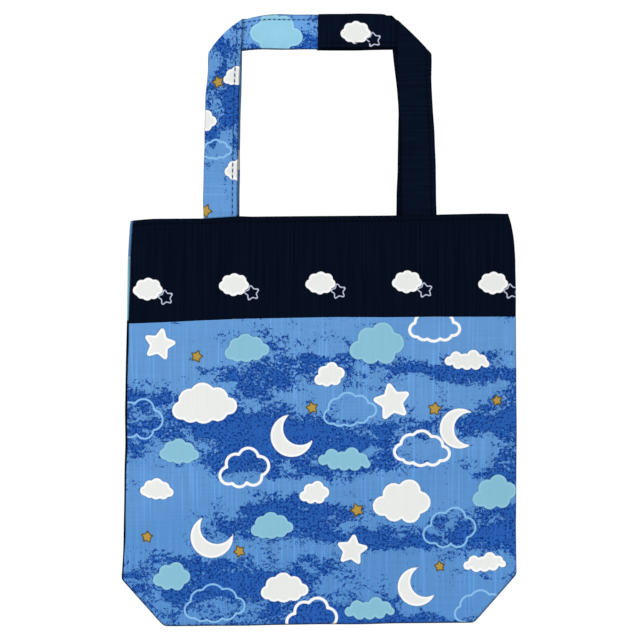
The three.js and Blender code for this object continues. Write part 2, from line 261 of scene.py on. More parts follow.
# Unevenness of the edges and the cloth.
UNEVEN = {
    # height, cell, seed, start along y
    "left_side": (0.25, 24, 11, 3.0),
    "right_side": (0.25, 21, 12, 9.0),
    "roll": (0.25, 17, 13, 0.0),
    "fold": (0.3, 31, 14, 0.0),
    "seam": (0.2, 19, 15, 5.0),
    "hills": (0.5, 34, 21, 0.0),
    "creases": (0.16, 13, 22, 0.0),
    "seam_puckers": (0.22, 7.0, 23, 0.0),
    "mouth_puckers": (0.2, 6.0, 24, 0.0),
    "strap_edge": (0.22, 15, 0, 0.0),
    "strap_face": (0.06, 8, 7, 0.0),
}


def mix(low, high, share):
    return low + (high - low) * share


def ease(share):
    s = np.clip(share, 0.0, 1.0)
    return s * s * (3 - 2 * s)


def read(table, column, at):
    key = next(iter(table))
    return np.interp(at, table[key], table[column])


def read_smooth(table, column, at, reach=SMOOTHING):
    offsets = (-1.0, -0.5, 0.0, 0.5, 1.0)
    return sum(read(table, column, at + o * reach) for o in offsets) / len(offsets)


def turned(x, y, middle_x, middle_y, turn):
    """x and y along and across a form at this middle, turned by these degrees."""
    c, s = math.cos(math.radians(turn)), math.sin(math.radians(turn))
    u, v = x - middle_x, y - middle_y
    return u * c + v * s, v * c - u * s


def noise(x, y, cell, seed):
    """Smooth random values from -1 to 1 on a lattice with this cell, the same on every run."""
    size = 64
    lattice = np.random.RandomState(seed).uniform(-1, 1, (size, size))
    u, v = np.asarray(x) / cell + 1000.0, np.asarray(y) / cell + 1000.0
    i, j = np.floor(u).astype(int), np.floor(v).astype(int)
    s, t = ease(u - i), ease(v - j)
    i, j = i % size, j % size
    k, m = (i + 1) % size, (j + 1) % size
    low = mix(lattice[i, j], lattice[k, j], s)
    high = mix(lattice[i, m], lattice[k, m], s)
    return mix(low, high, t)


def uneven(kind, x, y=0.0, more_seed=0):
    height, cell, seed, start = UNEVEN[kind]
    return height * noise(x, y + start, cell, seed + more_seed)


# The body's outline


def share_down(y):
    """How far down the sides y is, no further than the start of the folded corners."""
    return (MOUTH_Y - np.maximum(y, BOTTOM_Y + TUCK_DEPTH)) / BODY_HEIGHT


def back_sides(y):
    left = -read_smooth(SIDE_EDGES, "left", share_down(y), SIDE_SMOOTHING) * HALF_WIDTH
    right = read_smooth(SIDE_EDGES, "right", share_down(y), SIDE_SMOOTHING) * HALF_WIDTH
    return left + uneven("left_side", y), right + uneven("right_side", y)


def roll_width(y):
    return read_smooth(SEAM_ROLL, "width", share_down(y)) + uneven("roll", y)


def front_sides(y):
    left, right = back_sides(y)
    return left + roll_width(y) + CLEARANCE, right


def fold_edge(x, low):
    """The lowest point of the cloth at x, on the bottom fold or on a folded corner."""
    left, right = back_sides(np.array(BOTTOM_Y))
    run = np.minimum(x - left, right - x)
    corner = BOTTOM_Y + TUCK_DEPTH - run * CORNER_SLOPE + low * CORNER_STRETCH
    flat = BOTTOM_Y + low + uneven("fold", x, low)
    return CORNER_ROUND * np.logaddexp(corner / CORNER_ROUND, flat / CORNER_ROUND)


def fold_axis(x, low):
    """Where the fold's axis is at x, and how much longer a crossing along Y is than a square one."""
    step = 0.5
    slope = (fold_edge(x + step, low) - fold_edge(x - step, low)) / (2 * step)
    stretch = np.sqrt(1 + slope**2)
    return fold_edge(x, low) + OUTER_RADIUS * stretch, stretch


def mouth_edge(across):
    return MOUTH_Y + read_smooth(MOUTH_EDGE, "rise", across, MOUTH_SMOOTHING)


def seam_line(across, is_front):
    if not is_front:
        return MOUTH_Y - BAND_HEIGHT + 0.0 * across
    drop = read_smooth(BAND_SEAM, "drop", across) * BAND_HEIGHT
    return MOUTH_Y - BAND_HEIGHT - drop + uneven("seam", across * BODY_WIDTH)


# The front cloth's height


def wrinkles(x, y):
    """Soft hills, dents and creases of the front cloth."""
    rise = np.zeros(np.broadcast(x, y).shape)
    for dent_x, dent_y, along, across, turn, height in DENTS:
        u, v = turned(x, y, dent_x, dent_y, turn)
        rise = rise + height * np.exp(-((u / along) ** 2) - (v / across) ** 2)
    rise = rise + uneven("hills", x + 0.3 * y, y - 0.2 * x) + uneven("creases", x, y)
    to_seam = np.abs(y - (MOUTH_Y - BAND_HEIGHT))
    rise = rise + uneven("seam_puckers", x, 0.4 * y) * np.exp(-to_seam / SEAM_PUCKERS)
    to_mouth = np.abs(MOUTH_Y - y)
    return rise + uneven("mouth_puckers", x, 0.3 * y) * np.exp(-to_mouth / MOUTH_PUCKERS)


def front_height(x, y):
    """Height of the front cloth's face, without its rims."""
    left, right = front_sides(y)
    off_centre = np.abs(2 * (x - left) / (right - left) - 1)
    arch = 1 - np.clip(off_centre, 0, 1) ** CROWN_POWER
    crown = LOFT * read_smooth(CROWN, "height", (MOUTH_Y - y) / BODY_HEIGHT)
    full = mix(SIDE_TOP_Z, crown, arch)
    outer_left, outer_right = back_sides(np.array(BOTTOM_Y))
    above = y - (BOTTOM_Y + BACK_SHOWS + OUTER_RADIUS)
    run = np.minimum(x - outer_left, outer_right - x)
    corner = (y - BOTTOM_Y - TUCK_DEPTH + run * CORNER_SLOPE) / CORNER_STRETCH
    from_fold = np.minimum(above, corner - BACK_SHOWS - OUTER_RADIUS)
    settled = ease(from_fold / mix(SIDE_FADE, FADE_LENGTH, arch))
    from_side = np.minimum(x - left, right - x)
    free = ease(from_side / SIDE_REST) * ease(from_fold / FOLD_REST)
    return mix(FOLD_TOP_Z, full, settled) + wrinkles(x, y) * free


def rim_drop(distance, radius):
    """How far a rounded rim has fallen at this distance from its edge."""
    d = np.clip(distance, 0, radius)
    return radius - np.sqrt(np.maximum(radius**2 - (radius - d) ** 2, 0))


# Meshes


def add(name, data):
    made = bpy.data.objects.new(name, data)
    bpy.context.collection.objects.link(made)
    return made


def add_mesh(name, points, faces):
    """A smooth object from points in millimetres."""
    mesh = bpy.data.meshes.new(name)
    mesh.from_pydata((np.asarray(points) * MM).tolist(), [], faces)
    mesh.polygons.foreach_set("use_smooth", np.ones(len(faces), bool))
    return add(name, mesh)


def columns(edge_offsets, width, step):
    """Shares across and offsets from there: close together along both rims, even between them."""
    edge = edge_offsets[-1]
    count = max(int(round((width - 2 * edge) / step)), 2)
    shares = np.linspace(0, 1, count + 1)[1:-1]
    left = np.array(edge_offsets)
    share = np.concatenate([np.zeros(len(left)), shares, np.ones(len(left))])
    offset = np.concatenate([left, edge * (1 - 2 * shares), -left[::-1]])
    return share[None, :], offset[None, :]


def zipped(first, second, faces):
    """Triangles between two rows of vertices with different counts."""
    i = j = 0
    n, m = len(first) - 1, len(second) - 1
    while i < n or j < m:
        if j < m and (i == n or (j + 1) * n <= (i + 1) * m):
            faces.append((first[i], second[j], second[j + 1]))
            j += 1
        else:
            faces.append((first[i], second[j], first[i + 1]))
            i += 1


def grid_faces(index, is_back):
    a, b, c, d = index[:-1, :-1], index[1:, :-1], index[1:, 1:], index[:-1, 1:]
    order = (a, d, c, b) if is_back else (a, b, c, d)
    return np.stack([o.ravel() for o in order], axis=1).tolist()


def shell(name, face, lining, motifs, lining_motifs):
    """A closed thin piece from a face and a lining, two grids zipped together at their rims. Each has
    points, places on the cloth, and distances from the cloth's edges and rows of stitches."""
    face_points, face_places, face_lines = face
    lining_points, lining_places, lining_lines = lining
    rows, cols = face_points.shape[:2]
    low_rows, low_cols = lining_points.shape[:2]
    front = np.arange(rows * cols).reshape(rows, cols)
    back = np.arange(low_rows * low_cols).reshape(low_rows, low_cols) + rows * cols
    faces = grid_faces(front, False) + grid_faces(back, True)
    for rim in (np.s_[:, 0], np.s_[::-1, -1], np.s_[0, ::-1], np.s_[-1]):
        zipped(front[rim].tolist(), back[rim].tolist(), faces)
    points = np.concatenate([face_points.reshape(-1, 3), lining_points.reshape(-1, 3)])
    corners = points[np.array([f[:3] for f in faces])]
    volume = (corners[:, 0] * np.cross(corners[:, 1], corners[:, 2])).sum()
    if volume < 0:
        faces = [f[::-1] for f in faces]
    piece = add_mesh(name, points, faces)
    mesh = piece.data
    uv = np.concatenate([face_places.reshape(-1, 2), lining_places.reshape(-1, 2)]) * UV_SCALE
    vertex = np.zeros(len(mesh.loops), np.int32)
    mesh.loops.foreach_get("vertex_index", vertex)
    mesh.uv_layers.new(name="cloth").data.foreach_set("uv", uv[vertex].ravel())
    on_face = motif_distances(motifs, face_places) | face_lines
    on_lining = motif_distances(lining_motifs, lining_places) | lining_lines
    for key in on_face:
        values = np.concatenate([on_face[key].ravel(), on_lining[key].ravel()])
        mesh.attributes.new(key, "FLOAT", "POINT").data.foreach_set("value", values)
    return piece


# Cloth coordinates are kept in units of 100 mm.
UV_SCALE = 0.01
FAR = 99.0
MOTIF_KEYS = ("white", "aqua", "line", "pale_line", "gold", "edge", "row")

# Motifs, as shares of their widths. A cloud is a set of round lumps, and a moon a bitten disc.
LUMP_STEPS = 48
BITE_X, BITE_Y, BITE_RADIUS = 0.24, 0.1, 0.4
STAR_BLUNT = 0.07
STAR_INNER = 0.5
CLOUDS = {
    # x, y, radius of each lump
    "plump": [
        (-0.34, -0.03, 0.16), (-0.2, 0.14, 0.17), (0.03, 0.17, 0.19), (0.25, 0.11, 0.17),
        (0.35, -0.07, 0.15), (0.19, -0.2, 0.16), (-0.03, -0.22, 0.17), (-0.23, -0.17, 0.14),
        (0.0, -0.02, 0.26),
    ],
    "broad": [
        (-0.36, -0.07, 0.14), (-0.22, 0.08, 0.17), (-0.02, 0.14, 0.19), (0.2, 0.07, 0.17),
        (0.37, -0.06, 0.13), (0.2, -0.13, 0.15), (-0.02, -0.12, 0.18), (-0.22, -0.13, 0.14),
    ],
    "tall": [
        (-0.33, -0.1, 0.17), (-0.16, 0.12, 0.19), (0.1, 0.2, 0.2), (0.3, 0.02, 0.19),
        (0.16, -0.18, 0.17), (-0.12, -0.18, 0.17), (0.0, 0.0, 0.24),
    ],
    "long": [
        (-0.4, -0.02, 0.1), (-0.25, 0.07, 0.13), (-0.05, 0.04, 0.12), (0.13, 0.11, 0.14),
        (0.32, 0.03, 0.12), (0.42, -0.05, 0.08), (0.2, -0.07, 0.12), (0.0, -0.08, 0.12),
        (-0.2, -0.07, 0.12),
    ],
}


def cloud(u, v, width, shape):
    """Distance to the outline of a cloud's lumps taken together, below 0 inside."""
    lumps = np.array(CLOUDS[shape]) * width
    reach = np.minimum.reduce([np.hypot(u - x, v - y) - r for x, y, r in lumps])
    turns = np.arange(LUMP_STEPS) * 2 * math.pi / LUMP_STEPS
    x = (lumps[:, :1] + lumps[:, 2:] * np.cos(turns)).ravel()
    y = (lumps[:, 1:2] + lumps[:, 2:] * np.sin(turns)).ravel()
    depth = np.minimum.reduce([np.hypot(x - a, y - b) - r for a, b, r in lumps])
    x, y = x[depth > -1e-6], y[depth > -1e-6]
    inside = np.nonzero(reach < 0)
    near = np.hypot(u[inside][:, None] - x, v[inside][:, None] - y).min(axis=1)
    reach[inside] = -near
    return reach


def crescent(u, v, width):
    body = np.hypot(u, v) - width / 2
    bite = np.hypot(u - BITE_X * width, v - BITE_Y * width) - BITE_RADIUS * width
    return np.maximum(body, -bite)


def star(u, v, width):
    """Distance to a five-pointed star with rounded points."""
    blunt = STAR_BLUNT * width
    radius = width / 2 - blunt
    a, b = math.cos(math.pi / 5), -math.sin(math.pi / 5)
    x, y = np.abs(u), v.copy()
    for k in ((a, b), (-a, b)):
        d = 2 * np.maximum(k[0] * x + k[1] * y, 0)
        x, y = x - d * k[0], y - d * k[1]
    x, y = np.abs(x), y - radius
    e = (STAR_INNER * -b, STAR_INNER * a - 1)
    h = np.clip((x * e[0] + y * e[1]) / (e[0] ** 2 + e[1] ** 2), 0, radius)
    gap = np.hypot(x - e[0] * h, y - e[1] * h)
    return gap * np.sign(y * e[0] - x * e[1]) - blunt


# Prints: for each kind and shape, the x, y, width and turn of its places on the laid out cloth.
# A tone is a soft oval with more or less of the deep blue, and a fade is a lighter or darker one.
# Their shape is the amount. The fades on the printed handle's run and on the rolled edge are painted
# light and painted shade.
PANEL_PRINT = {
    ("tone", -0.35): [(-84, 6, 84, 0)],
    ("tone", 0.22): [(-36, -56, 50, 0)],
    ("white", "broad"): [(-92, -66, 52, 4), (-28, -214, 38, 3), (-130, -134, 27, -5)],
    ("white", "tall"): [(66, -146, 46, -6), (8, -44, 25, 8), (-4, -138, 24, 0)],
    ("white", "long"): [(118, -34, 36, -3), (132, -196, 34, 4)],
    ("white", "moon"): [
        (-22, -92, 34, 20), (112, -88, 32, -24), (-86, -172, 34, 38), (78, -214, 31, 8),
    ],
    ("white", "star"): [(58, -66, 30, 10), (-128, -18, 26, -12), (26, -184, 25, -8)],
    ("aqua", "tall"): [(46, -20, 44, 0), (140, -140, 36, 5), (-118, -204, 30, -4)],
    ("aqua", "broad"): [(-58, -22, 36, 5), (-112, -104, 32, -3), (-38, -164, 34, 4)],
    ("aqua", "long"): [(20, -112, 42, -4), (40, -232, 40, 2)],
    ("line", "broad"): [(82, -104, 44, -4), (92, -6, 40, 0)],
    ("line", "tall"): [(-60, -118, 40, 6), (-6, -238, 40, -3)],
    ("pale_line", "tall"): [(-146, -78, 42, -6), (104, -168, 42, 0)],
    ("pale_line", "broad"): [(24, -72, 42, 8), (-84, -226, 48, 4), (130, -232, 44, 4)],
    ("gold", "star"): [
        (-6, -70, 11, 12), (92, -72, 12, -8), (-64, -184, 11, 24), (96, -198, 10, 6),
        (-98, -28, 11, -16), (30, -152, 12, 20), (142, -66, 10, 10), (-138, -172, 11, -6),
    ],
}
BACK_BAND_PRINT = {
    ("white", "tall"): [(-160, 66, 34, 90), (64, 56, 36, -4)],
    ("aqua", "tall"): [(-84, 40, 44, 0)],
    ("white", "moon"): [(-26, 46, 34, 10)],
    ("gold", "star"): [(-10, 66, 11, 10), (84, 14, 11, -8)],
    ("line", "broad"): [(26, 28, 44, 3)],
    ("aqua", "long"): [(104, 26, 42, 4)],
    ("white", "star"): [(136, 60, 28, -8)],
    ("pale_line", "tall"): [(-120, 16, 40, 0)],
}
# The back band's edge, rolled round to the front on the left.
ROLLED_EDGE_PRINT = {
    ("tone", -0.5): [(-154, 34, 80, 90)],
    # Painted shade: the fade darkens the rolled edge's upper part.
    ("fade", -0.34): [(-154, 66, 38, 90)],
    ("aqua", "long"): [(-154, 26, 54, 90)],
}
# On a strap the places are along it from its foot, then across it.
FRONT_STRAP_PRINT = {
    ("tone", 0.58): [(106, -6, 46, 0)],
    ("tone", -0.1): [(36, 0, 50, 0)],
    ("tone", -0.3): [(142, 15, 22, 0), (112, 16, 24, 0)],
    ("tone", -0.24): [(212, -6, 34, 0)],
    ("tone", 0.2): [(228, 13, 16, 0)],
    # Painted light: the fade lightens the top run.
    ("fade", 0.24): [(200, 0, 36, 0)],
    ("gold", "star"): [(19, 12, 12, 30), (122, 4, 11, -70)],
    ("white", "plump"): [(52, -15, 24, -84)],
    ("white", "tall"): [(91, 15, 22, -96)],
    ("white", "broad"): [(127, -12, 24, -82)],
    ("pale_line", "broad"): [(68, 4, 24, -86)],
    ("aqua", "tall"): [(199, 1, 42, 176)],
}
BACK_STRAP_PRINT = {
    ("white", "broad"): [(60, -6, 30, 88)],
    ("aqua", "tall"): [(110, 6, 34, 90)],
    ("white", "star"): [(190, 0, 20, 20)],
    ("gold", "star"): [(150, -4, 11, 0)],
}
# The navy cloth's border: a row of clouds with a small outlined star beside each.
BORDER_PITCH = 69.1
BORDER_CLOUD = 24.0
BORDER_STAR = 12.0
BORDER_FIRST_X = -137.5
BORDER_DROP = 54.0
BORDER_TILT = 0.012
BORDER_LEVELS = (-0.8, 1.1, 0.8, 0.1, -2.4)
BACK_BORDER_SHIFT = 20.0
STAR_ASIDE = 0.6 * BORDER_CLOUD
STAR_DOWN = 0.3 * BORDER_CLOUD
# The same cloud and star on the navy half of the front handle's top run.
RUN_CLOUD = 203.4
NAVY_STRAP_PRINT = {
    # The fade makes the whole navy strap lighter.
    ("fade", 0.3): [(110, 0, 400, 0)],
    ("white", "plump"): [(RUN_CLOUD, 0.9, BORDER_CLOUD, 184)],
    ("line", "star"): [(RUN_CLOUD - STAR_ASIDE, STAR_DOWN, BORDER_STAR, 190)],
}


def border_print(first_x, y, tilt):
    across = [first_x + i * BORDER_PITCH for i in range(len(BORDER_LEVELS))]
    places = [(x, y + tilt * x + level) for x, level in zip(across, BORDER_LEVELS)]
    return {
        ("white", "plump"): [(x, y, BORDER_CLOUD, 4) for x, y in places],
        ("line", "star"): [(x + STAR_ASIDE, y - STAR_DOWN, BORDER_STAR, 10) for x, y in places],
    }


def motif_distances(motifs, places):
    """For each kind, the distance from each place on the cloth to the nearest motif's edge."""
    x, y = places[..., 0], places[..., 1]
    found = {key: np.full(x.shape, FAR) for key in MOTIF_KEYS}
    found.update(tone=np.zeros(x.shape), fade=np.zeros(x.shape))
    for (kind, shape), motif_places in motifs.items():
        for motif_x, motif_y, width, turn in motif_places:
            u, v = turned(x, y, motif_x, motif_y, turn)
            if kind in ("tone", "fade"):
                found[kind] += shape * np.exp(-((u / width) ** 2) - (v / (0.5 * width)) ** 2)
                continue
            if shape in CLOUDS:
                distance = cloud(u, v, width, shape)
            else:
                distance = {"moon": crescent, "star": star}[shape](u, v, width)
            found[kind] = np.minimum(found[kind], distance)
    return found


# Panels and bands


def slanted(x, y, z):
    x, y, z = np.broadcast_arrays(x, y, z)
    return np.stack([x, y + SLANT * x, z], axis=-1)


def front_sheet(x, y, rim_distance):
    """The front cloth's face and lining heights at x, y."""
    left, right = front_sides(y)
    face = front_height(x, y)
    from_side = np.minimum(x - left, right - x)
    rim = rim_drop(rim_distance, CLOTH / 2)
    side = rim_drop(from_side, SIDE_ROUND)
    wall = 1 - ease((from_side - CLOTH) / CLEARANCE)
    wall = wall * ease((y - TUCK_END_Y - CLEARANCE) / WALL_FADE)
    lining = mix(face - CLOTH, np.minimum(CLOTH + CLEARANCE, face - CLOTH), wall)
    drop = np.minimum(np.maximum(side, rim), np.maximum(side, RIM_LIMIT))
    inward = np.minimum(np.maximum(rim_drop(from_side, LINING_ROUND), rim), RIM_LIMIT)
    return face - drop, lining + inward


def back_sheet(x, y, rim_distance):
    """The back cloth's underside and inner face heights, with the rolled seam on its left."""
    left, right = back_sides(y)
    roll = roll_width(y)
    fade = ease((y - BOTTOM_Y - TUCK_DEPTH) / ROLL_FADE)
    middle = mix(CLOTH, SIDE_TOP_Z, fade) / 2
    from_left = x - left
    bead = np.sqrt(np.maximum(1 - (2 * from_left / roll - 1) ** 2, 0.0))
    under = np.where(from_left < roll / 2, middle * (1 - bead), 0.0)
    upper = np.where(from_left < roll, middle * (1 + bead), CLOTH)
    upper = np.where(from_left > roll / 2, np.maximum(upper, CLOTH), upper)
    rims = np.maximum(rim_drop(right - x, CLOTH / 2), rim_drop(rim_distance, CLOTH / 2))
    rims = np.minimum(rims, RIM_LIMIT)
    return under + rims, upper - rims


def cloth_of(is_front):
    """The sides, heights, rims of face and lining, and face step of the front or the back cloth."""
    if is_front:
        return front_sides, front_sheet, RIM_OFFSETS, LINING_RIM, FACE_STEP
    return back_sides, back_sheet, BACK_RIM, BACK_RIM, BACK_STEP


def turned_down(z, depth):
    """How far the cloth's places move outwards at a lining's rims, where the edge turns down."""
    spread = np.zeros(z.shape)
    if depth:
        spread[:, 0] = z[:, 0] - z.max() / 2
        spread[:, -1] = z.max() / 2 - z[:, -1]
    return spread


def groove(along, from_row, depth, width):
    """How deep a row of stitches presses into the cloth."""
    waves = 0.75 + 0.25 * np.cos(2 * math.pi * along / STITCH_PITCH)
    return depth * waves * np.exp(-((from_row / width) ** 2))


def hem(x, down):
    """The turned hem along the mouth, pressed down along its row of stitches."""
    thickness = HEM_THICKNESS * (1 - ease((down - HEM_HEIGHT) / HEM_FADE))
    return thickness - groove(x, down - STITCH_INSET, *HEM_GROOVE)


def band_piece(name, is_front, motifs, rolled_motifs):
    sides, sheet, face_rim, lining_rim, face_step = cloth_of(is_front)

    def grid(step, rim, depth):
        share, offset = columns(rim, BODY_WIDTH * MOUTH_SHARE, step)
        down, row_offset = columns(rim, BAND_HEIGHT, step)
        top = mouth_edge(share) - (0 if is_front else BACK_SHORTER)
        low = seam_line(share, is_front) + SEAM_GAP / 2
        y = mix(top, low, down.T) - row_offset.T
        left, right = sides(y)
        x = mix(left, right, share) + offset
        rim_distance = np.minimum(top - y, y - low)
        z = sheet(x, y, rim_distance)[depth]
        off_rim = ease(rim_distance / HEM_RIM)
        from_row = top - y - STITCH_INSET
        if is_front:
            z = z + hem(x, top - y) * off_rim
        elif depth == 0:
            z = z + groove(x, from_row, *HEM_GROOVE) * off_rim
        places = np.stack([x + turned_down(z, depth), y], -1)
        to_side = np.minimum(x - left, right - x)
        # Distances for the painted shade along the band's edges and its row of stitches.
        to_edge = np.minimum(to_side, np.minimum(top - y, 2 * (y - low)))
        lines = {"edge": to_edge, "row": from_row} if depth == 0 else {}
        return slanted(x, y, z), places, lines

    face = grid(face_step, face_rim, 0)
    lining = grid(LINING_STEP, lining_rim, 1)
    return shell(name, face, lining, motifs, rolled_motifs)


def panel_piece(name, is_front, motifs):
    """A lower panel: down from its seam, round the bottom fold and up inside as half of the tuck."""
    sides, sheet, face_rim, lining_rim, face_step = cloth_of(is_front)
    low_inset = BACK_SHOWS if is_front else 0.0
    axis_z = FRONT_AXIS_Z if is_front else BACK_AXIS_Z
    up = 1 if is_front else -1

    def grid(step, rim, depth, wrap_steps):
        share, offset = columns(rim, BODY_WIDTH, step)
        left, right = sides(np.array(BOTTOM_Y))
        foot_x = mix(left, right, share) + offset
        axis_y, stretch = fold_axis(foot_x, low_inset)
        top = seam_line(share, is_front) - SEAM_GAP / 2
        near = np.array(RIM_OFFSETS)[:, None]
        count = int(round((MOUTH_Y - BAND_HEIGHT - BOTTOM_Y) / step))
        lower = mix(top - RIM_OFFSETS[-1], axis_y, np.linspace(0, 1, count)[1:, None])
        y = np.concatenate([top - near, lower])
        left, right = sides(y)
        x = mix(left, right, share) + offset
        z = sheet(x, y, top - y)[depth]
        turn = np.linspace(0, math.pi, wrap_steps + 1)[1:, None]
        side_rim = np.minimum(foot_x - foot_x.min(), foot_x.max() - foot_x)
        drawn = np.minimum(rim_drop(side_rim, CLOTH / 2), RIM_LIMIT)
        radius = OUTER_RADIUS - drawn if depth == 0 else INNER_RADIUS + drawn
        wrap_y = axis_y - radius * stretch * np.sin(turn)
        wrap_z = axis_z + up * radius * np.cos(turn)
        tuck = np.array(TUCK_ROWS)[:, None]
        tuck_y = mix(axis_y, np.maximum(TUCK_END_Y, axis_y + CLOTH), tuck)
        tuck_z = axis_z - up * radius + 0 * tuck
        all_y = np.concatenate([y, wrap_y, tuck_y])
        all_x = np.concatenate([x, foot_x + 0 * wrap_y, foot_x + 0 * tuck_y])
        all_z = np.concatenate([z, wrap_z, tuck_z])
        cloth_x = all_x + turned_down(all_z, depth)
        up_inside = axis_y - radius * math.pi - (tuck_y - axis_y)
        cloth_y = np.concatenate([y, axis_y - radius * turn, up_inside])
        places = np.stack(np.broadcast_arrays(cloth_x, cloth_y), -1)
        # Distance for the painted shade along the panel's sides.
        to_side = np.minimum(all_x - all_x[:, :1], all_x[:, -1:] - all_x)
        lines = {"edge": to_side} if depth == 0 else {}
        return slanted(all_x, all_y, all_z), places, lines

    face = grid(face_step, face_rim, 0, WRAP_STEPS)
    lining = grid(LINING_STEP, lining_rim, 1, LINING_WRAP_STEPS)
    return shell(name, face, lining, motifs, {})


# Handles


class Strap:
    """Half of a handle: a leg, a corner folded on the diagonal, and half of the top run."""

    def __init__(self, side, is_front, leg, drop, leg_table, run_table, belly):
        self.side, self.is_front, self.belly = side, is_front, belly
        self.leg_table, self.run_table = leg_table, run_table
        self.leg_x = leg * LEG_SPACING / 2
        run_y = MOUTH_Y + HANDLE_RISE - drop * STRAP_WIDTH
        self.fold_y = run_y - HALF_WRAP
        self.axis_z = THREAD_ROOM + STRAP_THICKNESS / 2 + STRAP_RADIUS
        if is_front:
            self.axis_z += 2 * STRAP_RISE
        self.foot_y = MOUTH_Y + SLANT * self.leg_x - STRAP_FOOT
        self.join_x = JOIN_OFFSET - (0 if is_front else BACK_JOIN_SHIFT) + side * SEAM_GAP / 2
        self.leg = self.fold_y - self.foot_y
        self.past_fold = self.leg + math.pi * STRAP_RADIUS * math.sqrt(2)
        self.run = abs(self.join_x - self.leg_x + side * HALF_WRAP)
        self.total = self.past_fold + self.run
        self.seed = STRAP_SEED + 2 * side + is_front

    def leg_z(self, x, y, sag):
        from_mouth = y - SLANT * x - MOUTH_Y
        at = MOUTH_Y + np.minimum(from_mouth, 0)
        seat = front_height(x, at) - CLOTH if self.is_front else CLOTH
        from_seat = CLEARANCE + STRAP_THICKNESS / 2
        held = seat + (-from_seat if self.is_front else from_seat)
        return mix(held, self.axis_z + STRAP_RADIUS - sag, ease(from_mouth / FOOT_FADE))

    def wobble(self, outward, along):
        """Small unevenness of the strap's edges."""
        edge = np.abs(outward) / (STRAP_WIDTH / 2)
        return edge**3 * uneven("strap_edge", along, outward, self.seed)

    def leg_points(self, outward, along, reach):
        """Points along the leg, from inside the mouth to the folded corner."""
        share = np.clip(along / self.leg, 0, 1)
        free = 1 - share**FOLD_HOLD
        shift = read_smooth(self.leg_table, "shift", share) * STRAP_WIDTH * free
        sag = read_smooth(self.leg_table, "sag", share) * STRAP_RISE * free
        x = self.leg_x + self.side * outward + shift + self.side * self.wobble(outward, along)
        y = mix(self.foot_y, self.fold_y - outward, share)
        return np.stack(np.broadcast_arrays(x, y, self.leg_z(x, y, sag) + reach), -1)

    def run_points(self, outward, along, reach):
        """Points round the folded corner and along the top run."""
        turn = math.pi * np.clip((along - self.leg) / (self.past_fold - self.leg), 0, 1)
        on_axis = turn * STRAP_RADIUS / math.sqrt(2)
        radius = STRAP_RADIUS + reach
        out_turn = radius * np.sin(turn) / math.sqrt(2)
        wrap_x = self.leg_x + self.side * outward + self.side * (out_turn - on_axis)
        wrap_y = self.fold_y - outward + on_axis + out_turn
        part = np.clip((along - self.past_fold) / self.run, 0, 1)
        begun = ease(part / self.run_table["start"])
        rise = read_smooth(self.run_table, "rise", part) * STRAP_WIDTH * begun
        drop = read_smooth(self.run_table, "sag", part) * STRAP_RISE * begun
        x = mix(wrap_x, self.join_x, part)
        y = wrap_y + rise - self.wobble(outward, along)
        z = self.axis_z + radius * np.cos(turn) - drop
        return np.stack(np.broadcast_arrays(x, y, z), -1)

    def place(self, outward, along, reach):
        """Points at outward across the strap and along it, reach off the middle of its thickness."""
        on_run = self.run_points(outward, along, reach)
        shape = on_run.shape[:-1]
        on_leg = np.broadcast_to(along < self.leg, shape)[..., None]
        points = np.where(on_leg, self.leg_points(outward, along, reach), on_run)
        from_corner = (along - (self.leg + self.past_fold) / 2) / BELLY_REACH
        belly = self.belly * (1 - (2 * outward / STRAP_WIDTH) ** 2) * np.exp(-(from_corner**2))
        outwards = np.array([self.side, 1.0, 0.0]) / math.sqrt(2)
        return points + np.broadcast_to(belly, shape)[..., None] * outwards

    def cloth_along(self, outward, along):
        """The distance along the cloth itself: further out, the leg is shorter and the run longer."""
        on_fold = along - outward
        on_run = on_fold + (along - self.past_fold) * outward / self.run
        past_leg = np.where(along < self.past_fold, on_fold, on_run)
        return np.where(along < self.leg, along * (1 - outward / self.leg), past_leg)

    def rows(self, step):
        ends = np.array(RIM_OFFSETS[:6])
        last = self.total - ends[-1]
        return np.concatenate([
            ends[:-1],
            np.linspace(ends[-1], self.leg, int(self.leg / step)),
            np.linspace(self.leg, self.past_fold, WRAP_STEPS + 1)[1:],
            np.linspace(self.past_fold, last, int(self.run / step))[1:],
            self.total - ends[-2::-1],
        ])


def strap_piece(name, strap, motifs, stitched_edge):
    """stitched_edge is 1 where the stitches follow the strap's outer edge and -1 for its inner one."""

    def grid(sign):
        share, offset = columns(STRAP_RIM, STRAP_WIDTH, STRAP_STEP)
        outward = (share - 0.5) * STRAP_WIDTH + offset
        along = strap.rows(STRAP_STEP)[:, None]
        from_edge = STRAP_WIDTH / 2 - np.abs(outward)
        rim = np.minimum(from_edge, np.minimum(along, strap.total - along))
        drop = np.minimum(rim_drop(rim, STRAP_THICKNESS / 2), (STRAP_THICKNESS - EDGE_WALL) / 2)
        from_row = outward - stitched_edge * (STRAP_WIDTH / 2 - STITCH_INSET)
        half = STRAP_THICKNESS / 2 - drop - groove(along, from_row, *STRAP_GROOVE)
        half = half + uneven("strap_face", along, outward, strap.seed) * np.clip(rim, 0, 1)
        places = np.stack(np.broadcast_arrays(strap.cloth_along(outward, along), outward), -1)
        # Distances for the painted shade along the strap's edges, its join and its row of stitches.
        nearness = np.where(outward * stitched_edge > 0, STITCHED_NEARNESS, PLAIN_NEARNESS)
        to_edge = np.minimum(from_edge * nearness, JOIN_NEARNESS * (strap.total - along))
        lines = {"edge": to_edge, "row": from_row + 0 * along}
        return strap.place(outward, along, sign * half), places, lines

    return shell(name, grid(1), grid(-1), motifs, motifs)


# Stitches


